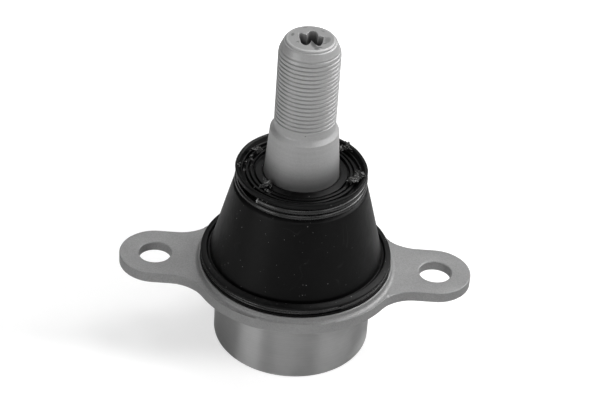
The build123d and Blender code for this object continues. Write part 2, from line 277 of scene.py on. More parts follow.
def new_group(name, inputs, outputs):
    """Empty node group with named inputs (name, kind, default) and outputs (name, kind)."""
    tree = bpy.data.node_groups.new(name, "ShaderNodeTree")
    for title, kind, default in inputs:
        socket = tree.interface.new_socket(title, in_out="INPUT", socket_type=kind)
        if default is not None:
            socket.default_value = default
    for title, kind in outputs:
        tree.interface.new_socket(title, in_out="OUTPUT", socket_type=kind)
    return tree, add(tree, "NodeGroupInput").outputs, add(tree, "NodeGroupOutput")


def edge_wear_group():
    """Mask of worn edges: how far the normal, rounded over Width, leans from the face's own."""
    tree, given, out = new_group(
        "edge wear", [("Width", FLOAT, 0.0004), ("Strength", FLOAT, 4.0)], [("Mask", FLOAT)]
    )
    soft = add(tree, "ShaderNodeBevel", {"Radius": given["Width"]}, samples=4)
    plain = add(tree, "ShaderNodeNewGeometry")
    normals = {0: soft.outputs[0], 1: plain.outputs["Normal"]}
    lean = add(tree, "ShaderNodeVectorMath", normals, operation="DOT_PRODUCT")
    off = reckon(tree, "SUBTRACT", 1.0, lean.outputs["Value"])
    strong = reckon(tree, "MULTIPLY", off, given["Strength"])
    fill(tree, out, {"Mask": add(tree, "ShaderNodeClamp", {"Value": strong}).outputs[0]})
    return tree


def send_mottling(tree, given, out, height):
    """Send out a height from -1 to 1, and the factor 1 + Amount * height."""
    factor = reckon(tree, "ADD", reckon(tree, "MULTIPLY", height, given["Amount"]), 1.0)
    fill(tree, out, {"Factor": factor, "Height": height})


def grain_group():
    """Fine mottling: noise at Scale, as a height and as a factor about 1."""
    tree, given, out = new_group(
        "grain",
        [("Vector", VECTOR, None), ("Scale", FLOAT, 1500.0), ("Amount", FLOAT, 0.1)],
        [("Factor", FLOAT), ("Height", FLOAT)],
    )
    noise = {"Vector": given["Vector"], "Scale": given["Scale"], "Detail": 4.0, "Roughness": 0.65}
    mottled = add(tree, "ShaderNodeTexNoise", noise)
    send_mottling(tree, given, out, spread(tree, mottled.outputs[0], 0.25, 0.75, -1.0, 1.0))
    return tree


def lathe_lines_group():
    """Fine rings left by turning: noise that depends on height alone, at Scale lines a metre."""
    tree, given, out = new_group(
        "lathe lines",
        [("Vector", VECTOR, None), ("Scale", FLOAT, 3000.0), ("Amount", FLOAT, 0.1)],
        [("Factor", FLOAT), ("Height", FLOAT)],
    )
    split = add(tree, "ShaderNodeSeparateXYZ", {0: given["Vector"]})
    noise = {"W": split.outputs["Z"], "Scale": given["Scale"], "Detail": 3.0}
    lines = add(tree, "ShaderNodeTexNoise", noise, noise_dimensions="1D")
    send_mottling(tree, given, out, spread(tree, lines.outputs[0], 0.2, 0.8, -1.0, 1.0))
    return tree


def dust_group():
    """Mask of scattered specks: cells of a Voronoi pattern, of which Share hold one speck."""
    tree, given, out = new_group(
        "dust specks",
        [("Vector", VECTOR, None), ("Scale", FLOAT, 400.0), ("Size", FLOAT, 0.12), ("Share", FLOAT, 0.2)],
        [("Mask", FLOAT)],
    )
    cells = add(tree, "ShaderNodeTexVoronoi", {"Vector": given["Vector"], "Scale": given["Scale"]})
    split = add(tree, "ShaderNodeSeparateColor", {0: cells.outputs["Color"]})
    chosen = reckon(tree, "LESS_THAN", split.outputs[0], given["Share"])
    reach = reckon(tree, "MULTIPLY", split.outputs[1], given["Size"])
    inside = reckon(tree, "LESS_THAN", cells.outputs["Distance"], reach)
    fill(tree, out, {"Mask": reckon(tree, "MULTIPLY", chosen, inside)})
    return tree


def scuff_group():
    """Mask of faint marks: thin level lines of a stretched noise, kept where a slow noise is high."""
    tree, given, out = new_group(
        "scuffs",
        [("Vector", VECTOR, None), ("Scale", FLOAT, 90.0), ("Width", FLOAT, 0.012)],
        [("Mask", FLOAT)],
    )
    stretched = {"Vector": given["Vector"], "Scale": given["Scale"], "Detail": 1.0, "Distortion": 0.6}
    lines = add(tree, "ShaderNodeTexNoise", stretched)
    away = reckon(tree, "ABSOLUTE", reckon(tree, "SUBTRACT", lines.outputs[0], 0.5))
    near = reckon(tree, "LESS_THAN", away, given["Width"])
    patches = add(tree, "ShaderNodeTexNoise", {"Vector": given["Vector"], "Scale": 130.0, "Detail": 2.0})
    keep = spread(tree, patches.outputs[0], 0.52, 0.62)
    fill(tree, out, {"Mask": reckon(tree, "MULTIPLY", near, keep)})
    return tree


GROUP_MAKERS = {
    "edge wear": edge_wear_group,
    "grain": grain_group,
    "lathe lines": lathe_lines_group,
    "dust specks": dust_group,
    "scuffs": scuff_group,
}


def use(tree, name, **inputs):
    """The named effect as a node of this material, built the first time that it is asked for."""
    group = bpy.data.node_groups.get(name) or GROUP_MAKERS[name]()
    return add(tree, "ShaderNodeGroup", inputs, node_tree=group).outputs


def new_finish(name):
    """Material with its tree, its Principled node and object coordinates."""
    finish = bpy.data.materials.new(name)
    finish.use_nodes = True
    tree = finish.node_tree
    surface = tree.nodes["Principled BSDF"]
    place = add(tree, "ShaderNodeTexCoord").outputs["Object"]
    return finish, tree, surface, place


def tint(tree, colour, factor):
    """Colour multiplied by a factor that changes over the surface."""
    return add(tree, "ShaderNodeVectorMath", {0: tuple(colour)[:3], 3: factor}, operation="SCALE").outputs[0]


def rub_edges(tree, body, width, strength, share, bright):
    """Body colour with its edges rubbed to a lighter grey."""
    edge = use(tree, "edge wear", Width=width, Strength=strength)
    return blend_colour(tree, reckon(tree, "MULTIPLY", edge["Mask"], share), body, grey(bright))


def bump(tree, surface, height, strength, distance):
    """Link a bump of a height pattern to the surface's normal."""
    made = add(tree, "ShaderNodeBump", {"Height": height, "Strength": strength, "Distance": distance})
    fill(tree, surface, {"Normal": made.outputs[0]})


def flange_steel(colours):
    """Blasted forged steel: a grey with grain at two scales, and edges rubbed lighter."""
    finish, tree, surface, place = new_finish("blasted flange steel")
    fine = use(tree, "grain", Vector=place, Scale=2200.0, Amount=0.16)
    slow = use(tree, "grain", Vector=place, Scale=90.0, Amount=0.06)
    body = tint(tree, colours.flange, reckon(tree, "MULTIPLY", fine["Factor"], slow["Factor"]))
    rubbed = rub_edges(tree, body, width=0.0005, strength=3.0, share=0.5, bright=0.45)
    rough = spread(tree, fine["Height"], -1, 1, 0.42, 0.56)
    fill(tree, surface, {"Base Color": rubbed, "Metallic": 0.45, "Roughness": rough})
    bump(tree, surface, fine["Height"], 0.25, 0.00006)
    return finish


def barrel_steel(colours):
    """Turned steel: rings run round the barrel, so that its gloss is drawn out along the axis."""
    finish, tree, surface, place = new_finish("turned barrel steel")
    lines = use(tree, "lathe lines", Vector=place, Scale=2600.0, Amount=0.05)
    slow = use(tree, "grain", Vector=place, Scale=120.0, Amount=0.05)
    body = tint(tree, colours.barrel, reckon(tree, "MULTIPLY", lines["Factor"], slow["Factor"]))
    rubbed = rub_edges(tree, body, width=0.0005, strength=2.0, share=0.5, bright=0.5)
    around = add(tree, "ShaderNodeTangent", direction_type="RADIAL", axis="Z").outputs[0]
    fill(tree, surface, {"Base Color": rubbed, "Metallic": 0.8, "Roughness": 0.5})
    fill(tree, surface, {"Anisotropic": 0.95, "Anisotropic Rotation": 0.25, "Tangent": around})
    bump(tree, surface, lines["Height"], 0.05, 0.00003)
    return finish


def stud_steel(colours):
    """Satin steel with small pits, darkened by its own point attribute: real marks on the end face, painted
    shade and a painted dark reflection.
    """
    finish, tree, surface, place = new_finish("satin stud steel")
    fine = use(tree, "grain", Vector=place, Scale=1800.0, Amount=0.07)
    lines = use(tree, "lathe lines", Vector=place, Scale=900.0, Amount=0.03)
    pits = use(tree, "dust specks", Vector=place, Scale=260.0, Size=0.16, Share=0.16)
    soil_and_shade = add(tree, "ShaderNodeAttribute", attribute_name="soil_and_shade").outputs["Fac"]
    body = tint(tree, colours.stud, reckon(tree, "MULTIPLY", fine["Factor"], lines["Factor"]))
    # blend towards dark grey: painted shade in grooves and socket, a painted reflection on the taper, real
    # marks on the face
    soiled_and_shaded = blend_colour(tree, soil_and_shade, body, grey(0.09))
    pitted = blend_colour(tree, reckon(tree, "MULTIPLY", pits["Mask"], 0.55), soiled_and_shaded, grey(0.08))
    rough = spread(tree, fine["Height"], -1, 1, 0.42, 0.54)
    fill(tree, surface, {"Base Color": pitted, "Metallic": 0.45, "Roughness": rough})
    bump(tree, surface, fine["Height"], 0.12, 0.00004)
    return finish


def boot_rubber(colours):
    """Moulded rubber: near black with a soft gloss, dust specks and faint marks."""
    finish, tree, surface, place = new_finish("boot rubber")
    slow = use(tree, "grain", Vector=place, Scale=60.0, Amount=0.25)
    specks = use(tree, "dust specks", Vector=place, Scale=1000.0, Size=0.19, Share=0.2)
    scuffs = use(tree, "scuffs", Vector=place)
    body = tint(tree, colours.rubber, slow["Factor"])
    marked = blend_colour(tree, reckon(tree, "MULTIPLY", scuffs["Mask"], 0.035), body, grey(0.16))
    dusty = blend_colour(tree, specks["Mask"], marked, (*colours.dust, 1))
    rough = spread(tree, slow["Height"], -1, 1, 0.34, 0.46)
    fill(tree, surface, {"Base Color": dusty, "Roughness": rough, "Specular IOR Level": 0.17})
    bump(tree, surface, slow["Height"], 0.2, 0.0002)
    return finish


def ring_wire():
    """Black oxidised spring wire with a soft gloss, bright where its attribute "bare" is 1."""
    finish, tree, surface, place = new_finish("black ring wire")
    fine = use(tree, "grain", Vector=place, Scale=500.0, Amount=0.2)
    bare = add(tree, "ShaderNodeAttribute", attribute_name="bare").outputs["Fac"]
    cut = blend_colour(tree, bare, tint(tree, grey(0.007), fine["Factor"]), grey(0.45))
    rough = spread(tree, fine["Height"], -1, 1, 0.25, 0.29)
    fill(tree, surface, {"Base Color": cut, "Metallic": 0.1, "Roughness": rough, "Specular IOR Level": 0.8})
    return finish


def torn_rubber():
    """Torn, greasy flash: glossy black rubber, pale grey in patches that follow a noise."""
    finish, tree, surface, place = new_finish("torn greasy flash")
    rough = use(tree, "grain", Vector=place, Scale=1500.0, Amount=0.5)
    pale = spread(tree, rough["Height"], 0.1, 0.8)
    body = blend_colour(tree, pale, grey(0.06), (0.42, 0.42, 0.41, 1))
    fill(tree, surface, {"Base Color": body, "Roughness": 0.22, "Specular IOR Level": 0.7})
    bump(tree, surface, rough["Height"], 0.6, 0.0002)
    return finish


def zinc_plate():
    """Zinc-plated pressed steel with slow clouds and fine grain."""
    finish, tree, surface, place = new_finish("zinc plated steel")
    fine = use(tree, "grain", Vector=place, Scale=1300.0, Amount=0.08)
    slow = use(tree, "grain", Vector=place, Scale=150.0, Amount=0.08)
    body = tint(tree, (0.42, 0.42, 0.41), reckon(tree, "MULTIPLY", fine["Factor"], slow["Factor"]))
    rubbed = rub_edges(tree, body, width=0.0004, strength=2.5, share=0.5, bright=0.65)
    rough = spread(tree, slow["Height"], -1, 1, 0.3, 0.42)
    fill(tree, surface, {"Base Color": rubbed, "Metallic": 0.9, "Roughness": rough})
    return finish


def spring_steel():
    """Dark phosphated spring steel."""
    finish, tree, surface, place = new_finish("phosphated spring steel")
    fine = use(tree, "grain", Vector=place, Scale=1700.0, Amount=0.2)
    body = tint(tree, grey(0.11), fine["Factor"])
    rubbed = rub_edges(tree, body, width=0.0003, strength=2.5, share=0.6, bright=0.35)
    rough = spread(tree, fine["Height"], -1, 1, 0.4, 0.55)
    fill(tree, surface, {"Base Color": rubbed, "Metallic": 0.7, "Roughness": rough})
    return finish


def shell_plastic():
    """Off-white bearing plastic, slightly mottled, with a film of grease."""
    finish, tree, surface, place = new_finish("bearing shell plastic")
    fine = use(tree, "grain", Vector=place, Scale=700.0, Amount=0.05)
    body = tint(tree, (0.62, 0.60, 0.53), fine["Factor"])
    fill(tree, surface, {"Base Color": body, "Roughness": spread(tree, fine["Height"], -1, 1, 0.38, 0.5)})
    return finish


# --- Stud ------------------------------------------------------------------------------------

BALL_R, BALL_FLAT_R, NECK_R = 15.0, 4.0, 8.5
THREAD_LOW, THREAD_HIGH = 64.0, 91.5
CREST_R, BAND_R = 9.98, 9.93
STUD_TOP, FACE_R, SOCKET_LIP = 94.3, 7.1, 0.18

# crests at the thread's start: they follow this line, which curves in under the rounded end
LEAD_LINE = rounded_line([(CREST_R, THREAD_LOW, 0), (CREST_R, 90.0, 5.0), (8.4, 93.5, 0)], arc=12)
LEAD_END_R = np.interp(THREAD_HIGH, LEAD_LINE[:, 1], LEAD_LINE[:, 0])

# angle in degrees and radius of the drive socket's lobes and teeth; the tooth at 283 is bent outwards
LOBE_LINE = (
    (0, 3.85), (10, 3.95), (20, 4.1), (28, 3.7), (38, 2.75), (50, 3.3), (62, 3.9), (74, 4.6), (83, 4.8),
    (94, 4.6), (106, 3.4), (126, 2.2), (133, 3.3), (139, 4.45), (145, 4.6), (152, 4.3), (168, 3.8),
    (184, 3.5), (199, 3.45), (212, 3.75), (226, 4.15), (241, 4.46), (252, 4.36), (260, 3.75), (268, 2.3),
    (276, 1.3), (283, 1.15), (289, 2.2), (295, 3.9), (301, 4.75), (308, 4.9), (320, 4.5), (334, 4.1),
    (348, 3.85), (360, 3.85),
)

# depth below the end face, and how much wider than its outline the socket is there
SOCKET_STEPS = (
    (0, SOCKET_LIP), (0.05, 0.08), (0.16, 0.01), (0.35, -0.02), (0.9, -0.06), (1.8, -0.14),
    (3.0, -0.24), (4.5, -0.36), (6.2, -0.5), (6.6, -0.7), (6.8, -0.95), (7.2, -9),
)

# marks on the end face: x, y, half length, half width in mm, direction in degrees, depth of shade
FACE_MARKS = (
    (0.95, -3.6, 2.6, 1.0, -76, 0.62), (2.1, -6.2, 1.35, 1.0, -50, 0.55), (2.2, -5.05, 1.9, 0.4, 4, 0.6),
    (5.2, -0.3, 2.4, 1.25, 80, 0.45), (4.6, -2.3, 1.1, 0.4, 40, 0.5), (4.6, 1.0, 1.2, 0.45, -40, 0.4),
    (-5.75, 1.6, 1.2, 0.6, 78, 0.5), (-2.1, 6.3, 1.2, 0.5, 6, 0.36), (3.6, 4.8, 1.1, 0.5, -38, 0.4),
    (-3.9, -2.3, 1.1, 0.16, 38, 0.65), (-3.9, -2.6, 0.8, 0.14, -58, 0.6), (0.7, 6.0, 0.3, 0.25, 0, 0.4),
)
RAISED_MARKS, RAISED_HEIGHT = 2, 0.14    # the first marks are metal pressed up out of the socket
FACE_SHADE, MARK_GAIN, DARKEST = 0.36, 1.6, 0.95


def shank_grid(columns):
    """Grid of the ball, the neck, the taper and the plain band under the thread."""
    ball_low = math.sqrt(BALL_R**2 - BALL_FLAT_R**2)
    stop_short = 0.06    # radians left for the rounding into the neck
    neck_lean = math.pi - math.asin(NECK_R / BALL_R)
    lean = np.linspace(math.asin(BALL_FLAT_R / BALL_R), neck_lean - stop_short, 26)
    sphere = np.stack([BALL_R * np.sin(lean), -BALL_R * np.cos(lean)], axis=1)
    neck = rounded_line(
        [(*sphere[-1], 0), (NECK_R, 13.3, 1.2), (NECK_R, 18, 8), (12.4, 30, 8), (12.4, 44, 2.0),
         (11.155, 60.6, 0.35), (10.12, 61.95, 0.35), (BAND_R, 62.35, 0.3), (BAND_R, THREAD_LOW, 0)],
        arc=6, longest=1.4,
    )
    return turned(np.vstack([[[0, -ball_low], [BALL_FLAT_R, -ball_low]], sphere, neck[1:]]), columns)


def thread_grid(sizes, angle):
    """Grid of the rolled thread, and how deep in the groove each point lies, from 0 to 1.

    The rows climb a helix: height = THREAD_LOW + pitch * travel, where travel counts turns. Across
    the groove the cut is w^1.15 (1.6 - 0.6 w), where w falls from 1 at the root to 0 at the crest.
    The cut fades out at both ends, the crests waver a little, and they follow LEAD_LINE.
    """
    pitch, depth = sizes.pitch / MM, sizes.thread_depth / MM
    steps = np.array([0, .05, .10, .145, .18, .205, .25, .38, .5, .62, .75, .795, .82, .855, .90, .95])
    turns = np.arange(-1, int((THREAD_HIGH - THREAD_LOW) / pitch) + 2)
    run = (turns[:, None] + steps[None]).ravel()
    travel = run[:, None] + angle[None] / (2 * np.pi)
    height = THREAD_LOW + pitch * travel
    uneven = wander(travel / 40, seed=5, waves=10, slowest=40, fastest=400)
    half_groove = sizes.root_share / 2 * (1 + 0.10 * uneven)
    from_root = np.abs((travel + 0.5) % 1 - 0.5)
    wall = np.clip(1 - from_root / half_groove, 0, 1)
    fade_in = np.clip((height - THREAD_LOW - 0.35) / 1.0, 0, 1)
    fade = fade_in * np.clip((THREAD_HIGH + 0.15 - height) / 1.3, 0, 1)
    cut = np.clip(wall**1.15 * (1.6 - 0.6 * wall), 0, 1) * fade
    over_crest = np.interp(height, LEAD_LINE[:, 1], LEAD_LINE[:, 0])
    radius = over_crest - (CREST_R - BAND_R) * np.clip(1 - (height - THREAD_LOW) / 0.4, 0, 1)
    waver = wander(travel / 40, seed=9, waves=12, slowest=30, fastest=500)
    radius = radius - depth * cut + 0.025 * waver * (wall <= 0) * (fade > 0)
    height = np.clip(height, THREAD_LOW, THREAD_HIGH)
    radius = np.where(height <= THREAD_LOW, BAND_R, np.where(height >= THREAD_HIGH, LEAD_END_R, radius))
    return np.stack([radius * np.cos(angle), radius * np.sin(angle), height], axis=-1), cut


def tip_grid(columns):
    """Grid of the rounded end, from the thread's last crest to the rim of the end face."""
    line = rounded_line(
        [(LEAD_END_R, THREAD_HIGH, 0), (8.45, 93.4, 0.5), (8.02, 93.5, 0.15), (7.98, 93.85, 0.2),
         (7.8, 94.15, 0.3), (7.4, STUD_TOP, 0.4), (FACE_R, STUD_TOP, 0)],
        arc=6, longest=0.5,
    )
    return turned(line, columns)


def socket_outline(columns):
    """Outline of the drive socket: a radius drawn smoothly through the lobes' and teeth's places.

    The radius between two places follows r = r1 + (r2 - r1) (1 - cos(pi t)) / 2. The columns
    are shared out half by angle and half by length along the line.
    """
    places = np.array(LOBE_LINE)
    fine = np.linspace(0, 360, 3601)
    slot = np.clip(np.searchsorted(places[:, 0], fine, side="right") - 1, 0, len(places) - 2)
    share = (fine - places[slot, 0]) / (places[slot + 1, 0] - places[slot, 0])
    radius = places[slot, 1] + (places[slot + 1, 1] - places[slot, 1]) * (1 - np.cos(np.pi * share)) / 2
    line = np.stack([radius * np.cos(np.radians(fine)), radius * np.sin(np.radians(fine))], axis=1)
    length = np.append(0, np.cumsum(np.linalg.norm(np.diff(line, axis=0), axis=1)))
    mixed = 0.5 * length / length[-1] + 0.5 * fine / 360
    angle = np.interp(np.linspace(0, 1, columns + 1), mixed, fine)
    return np.radians(angle), np.interp(angle, fine, radius)


def face_marks(x, y):
    """Shade and height of the marks on the end face.

    Each mark is a soft ellipse, exp(-d^4) where d is the distance in half lengths and half widths.
    """
    shade, lift = np.full_like(x, FACE_SHADE), np.zeros_like(x)
    for number, (centre_x, centre_y, length, width, turn, depth) in enumerate(FACE_MARKS):
        along = (x - centre_x) * math.cos(math.radians(turn)) + (y - centre_y) * math.sin(math.radians(turn))
        aside = (y - centre_y) * math.cos(math.radians(turn)) - (x - centre_x) * math.sin(math.radians(turn))
        spot = np.exp(-(((along / length) ** 2 + (aside / width) ** 2) ** 2))
        shade = np.maximum(shade, np.minimum(MARK_GAIN * depth, DARKEST) * spot)
        lift = np.maximum(lift, (RAISED_HEIGHT if number < RAISED_MARKS else 0) * spot)
    return shade, lift


def face_grid(angle, outline_angle, outline):
    """Grid of the end face, from its rim in to the socket's lip, and the shade of its marks."""
    share = np.linspace(0, 1, 34)[:, None]
    across = angle + (outline_angle - angle) * share
    radius = FACE_R + (outline + SOCKET_LIP - FACE_R) * share
    x, y = radius * np.cos(across), radius * np.sin(across)
    marks, lift = face_marks(x, y)
    inner = np.clip((1 - share) * 8, 0, 1) * np.clip(share * 8, 0, 1)
    return np.stack([x, y, STUD_TOP + lift * inner], axis=-1), marks


def socket_grid(outline_angle, outline):
    """Grid of the socket from its lip to its floor, and its shade.

    The shade grows with the depth, and starts lower where the bent tooth narrows the outline.
    """
    drop, wider = np.array(SOCKET_STEPS).T[:, :, None]
    radius = np.maximum(outline + wider, 0)
    x, y = radius * np.cos(outline_angle), radius * np.sin(outline_angle)
    tooth = np.clip((4.0 - outline) / 1.8, 0, 1)
    shade = np.clip((drop - 0.1 - 1.6 * tooth) / 2.6, 0, 0.85)
    return np.stack([x, y, STUD_TOP - drop + 0 * outline], axis=-1), shade


class BALLJOINT_OT_stud(bpy.types.Operator):
    """Make the ball stud: ball, neck, taper, rolled thread, rounded end and drive socket"""

    bl_idname = "balljoint.stud"
    bl_label = "Ball stud"

    def execute(self, context):
        sizes = context.scene.balljoint_stud
        angle = np.linspace(0, 2 * np.pi, sizes.columns + 1)
        outline_angle, outline = socket_outline(sizes.columns)
        shank = shank_grid(sizes.columns)
        thread, cut = thread_grid(sizes, angle)
        tip = tip_grid(sizes.columns)
        face, marks = face_grid(angle, outline_angle, outline)
        socket, shade = socket_grid(outline_angle, outline)
        reflection_top, reflection_fade = 54, 8.5    # painted dark reflection of the boot: the taper darker towards the bottom
        painted_reflection = 0.72 * np.clip((reflection_top - shank[..., 2]) / reflection_fade, 0, 1) ** 1.3
        # darkening for each grid: a painted dark reflection low on the taper, painted shade in the thread's
        # grooves, the rounded end a little darker, the real marks on the end face over its even shade, and
        # painted shade deepening into the socket
        soil_and_shade_parts = [painted_reflection, cut * 0.45, np.full(tip.shape[:2], 0.05), marks, shade]
        soil_and_shade = np.concatenate([part.ravel() for part in soil_and_shade_parts])
        finish = stud_steel(context.scene.balljoint_colours)
        grids = [shank, thread, tip, face, socket]
        made = skin("ball_stud_body", grids, finish, sharp=50, values={"soil_and_shade": soil_and_shade})
        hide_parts("ball_stud")
        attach(made, "stud")
        return {"FINISHED"}


# --- Boot, rings and flash -------------------------------------------------------------------


class BALLJOINT_OT_boot(bpy.types.Operator):
    """Make the dust boot: gripping foot, cone, rim and the ridged recess around the stud"""

    bl_idname = "balljoint.boot"
    bl_label = "Dust boot"

    def execute(self, context):
        sizes = context.scene.balljoint_boot
        outside = [
            (26.65, 6.56, 0), (31.7, 6.56, 0.2), (32.0, 6.9, 0.2), (32.0, 9.1, 0.12), (30.95, 9.1, 0.1),
            (30.95, 11.0, 0.1), (32.0, 11.0, 0.12), (31.92, 11.75, 0.35), (29.95, 12.5, 0.3),
            (29.75, 11.45, 0.3), (28.85, 11.3, 0.3), (28.8, 12.5, 0.5), (24.0, 31.5, 60), (22.1, 38.7, 1.2),
            (21.2, 39.45, 0.4), (19.8, 39.45, 0.1), (19.8, 43.75, 0.1), (21.5, 43.75, 0.3),
            (21.65, 45.3, 0.5), (21.3, 45.85, 0.3), (20.5, 45.55, 0.5),
        ]
        ridges = [
            (19.7, 44.2, 0.25), (19.3, 44.1, 0.12), (19.05, 42.95, 0.2), (18.35, 42.95, 0.2),
            (18.15, 44.0, 0.14), (17.35, 44.15, 0.14), (17.25, 42.95, 0.15), (16.85, 42.95, 0.15),
            (16.7, 44.1, 0.14), (15.85, 44.25, 0.14), (15.75, 42.95, 0.2), (15.2, 42.95, 0.2),
        ]
        inside = [
            (15.05, 43.85, 0.25), (13.2, 44.35, 0.4), (12.56, 44.3, 0.2), (12.56, 42.3, 0),
            (13.45, 42.3, 0), (13.45, 34.2, 0), (15.95, 34.2, 0.4), (15.95, 40.2, 0.4), (19.15, 40.2, 0.6),
            (26.6, 11.2, 0.4), (26.65, 10.5, 0), (26.65, 6.56, 0),
        ]
        profile = rounded_line(outside + ridges + inside, arc=4, longest=1.3)
        grid = turned(profile, sizes.columns)
        turn = np.linspace(0, 1, sizes.columns + 1)
        height, radius = profile[:, 1:], profile[:, :1]
        recess_floor, lip_r = 42.6, 13.2
        cone_low, cone_high, soft = 13, 40, 6
        recess = np.clip((height - recess_floor) / 0.6, 0, 1) * np.clip((radius - lip_r) / 1.2, 0, 1)
        shift = sizes.waviness / MM * wander(turn, seed=3, waves=7, slowest=2, fastest=11) * recess
        cone = np.clip((height - cone_low) / soft, 0, 1) * np.clip((cone_high - height) / soft, 0, 1)
        swell = 0.05 * wander(turn, seed=8, waves=5, slowest=1, fastest=5) * cone
        grid[..., :2] *= (1 + (shift + swell) / np.maximum(radius, 1))[..., None]
        made = skin("rubber_boot", [grid], boot_rubber(context.scene.balljoint_colours), sharp=40)
        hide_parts("dust_boot")
        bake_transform(made)
        return {"FINISHED"}


class BALLJOINT_OT_rings(bpy.types.Operator):
    """Wind the two wire rings that hold the boot, each past a full turn, with the wire's ends showing"""

    bl_idname = "balljoint.rings"
    bl_label = "Wire rings"

    # piece, node, body, ring radius, name of the wire's size, start in degrees, turns, whether the
    # wire's ends are cut bare, and its height at some numbers of turns
    RINGS = (
        ("upper_wire_ring", "upper_clamp_ring", "collar", 20.8, "upper_wire", 231, 1.45, True,
         ((0, 42.62), (0.46, 42.62), (0.8, 40.52), (1.45, 40.5))),
        ("lower_wire_ring", "lower_clamp_ring", "housing", 31.42, "lower_wire", 300, 1.994, False,
         ((0, 9.61), (0.9, 9.61), (1.1, 10.49), (1.994, 10.49))),
    )
    POINTS, AROUND, SOFTENED, BURR = 361, 20, 21, 0.05

    def execute(self, context):
        sizes = context.scene.balljoint_boot
        finish = ring_wire()
        for name, node, body, ring_r, size, begin, turns, cut_bare, stops in self.RINGS:
            wire = getattr(sizes, size) / MM
            turn = np.linspace(0, turns, self.POINTS)
            places, heights = np.array(stops).T
            rise = np.pad(np.interp(turn, places, heights), self.SOFTENED // 2, mode="edge")
            rise = np.convolve(rise, np.full(self.SOFTENED, 1 / self.SOFTENED), mode="valid")
            angle = np.radians(begin) + 2 * np.pi * turn
            path = np.stack([ring_r * np.cos(angle), ring_r * np.sin(angle), rise], axis=1)
            bare = np.zeros(self.POINTS)
            bare[[0, -1]] = cut_bare
            grid = tube(path, wire / 2 + self.BURR * bare, around=self.AROUND)[:, ::-1]
            bare = np.repeat(np.pad(bare, 1, mode="edge"), self.AROUND + 1)
            made = skin(name, [grid], finish, values={"bare": bare})
            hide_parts(node)
            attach(made, body)
        return {"FINISHED"}


class BALLJOINT_OT_flash(bpy.types.Operator):
    """Scatter the torn, greasy bits of moulding flash on the boot's ridges"""

    bl_idname = "balljoint.flash"
    bl_label = "Torn flash"

    # angle about the stud in degrees, radius, height and size in mm, number of shreds
    CLUMPS = (
        (150, 17.5, 45.0, 2.7, 6), (162, 17.8, 44.4, 1.5, 3), (171, 18.2, 44.3, 1.5, 3),
        (168, 17.0, 44.4, 1.3, 2), (178, 16.2, 44.3, 1.2, 2), (186, 18.4, 44.3, 1.1, 2),
        (218, 13.8, 44.5, 2.2, 4), (226, 14.9, 44.7, 2.2, 5), (222, 16.6, 44.4, 1.8, 3),
        (231, 16.8, 44.3, 1.9, 3), (237, 17.1, 44.1, 1.4, 2), (354, 19.1, 45.2, 2.8, 7),
        (345, 17.7, 44.8, 3.0, 6), (351, 20.3, 45.6, 1.6, 3), (46, 20.8, 45.8, 1.6, 4),
        (42, 19.5, 45.1, 2.0, 4), (36, 19.9, 44.9, 1.1, 2), (47, 18.7, 44.7, 2.1, 3),
        (184, 20.6, 45.8, 1.1, 3), (203, 21.0, 45.8, 0.6, 1), (212, 20.4, 45.7, 0.5, 1),
        (223, 20.0, 45.6, 0.7, 2), (237, 21.6, 44.3, 0.7, 3), (242, 21.7, 44.2, 0.6, 2),
    )

    CLUMP_SPREAD = np.array([0.34, 0.34, 0.22])

    def shred(self, draw, size):
        """A thin torn flake: a flattened lump, bent over an arc and turned any way.

        The lump is a sphere swollen by sines of its own axes. Bending carries x to R sin(x/R)
        and lifts it by R (1 - cos(x/R)).
        """
        across = np.linspace(0, 2 * np.pi, 17)
        along = np.linspace(0, np.pi, 11)[:, None]
        sides = np.cos(across) * np.sin(along), np.sin(across) * np.sin(along)
        ball = np.stack([*sides, -np.cos(along) + 0 * across], axis=-1)
        phase = draw.random(4) * 6
        swell = 1 + 0.3 * np.sin(5.2 * ball[..., 0] + phase[0]) * np.sin(4.6 * ball[..., 1] + phase[1])
        swell += 0.25 * np.sin(6.3 * ball[..., 2] + 4.1 * ball[..., 0] + phase[2])
        swell += 0.18 * np.sin(9.1 * ball[..., 1] + 5.3 * ball[..., 2] + phase[3])
        half = size * np.array([draw.uniform(0.38, 0.6), draw.uniform(0.2, 0.34), draw.uniform(0.06, 0.13)])
        flake = ball * swell[..., None] * half
        bend = half[0] * draw.uniform(0.7, 1.6)
        over = flake[..., 0] / bend
        lifted = flake[..., 2] + bend * (1 - np.cos(over))
        flake = np.stack([bend * np.sin(over), flake[..., 1], lifted], axis=-1)
        turn = np.linalg.qr(draw.normal(size=(3, 3)))[0]
        turn *= np.sign(np.linalg.det(turn))
        return flake @ turn.T

    def execute(self, context):
        grids = []
        draw = np.random.default_rng(21)
        for angle, radius, height, size, shreds in self.CLUMPS:
            spin = math.radians(angle)
            middle = np.array([radius * math.cos(spin), radius * math.sin(spin), height])
            for _ in range(shreds):
                shift = draw.uniform(-1, 1, 3) * self.CLUMP_SPREAD * size * (shreds > 1)
                grids.append(middle + shift + self.shred(draw, size))
        made = skin("torn_flash", grids, torn_rubber(), sharp=60)
        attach(made, "collar")
        return {"FINISHED"}


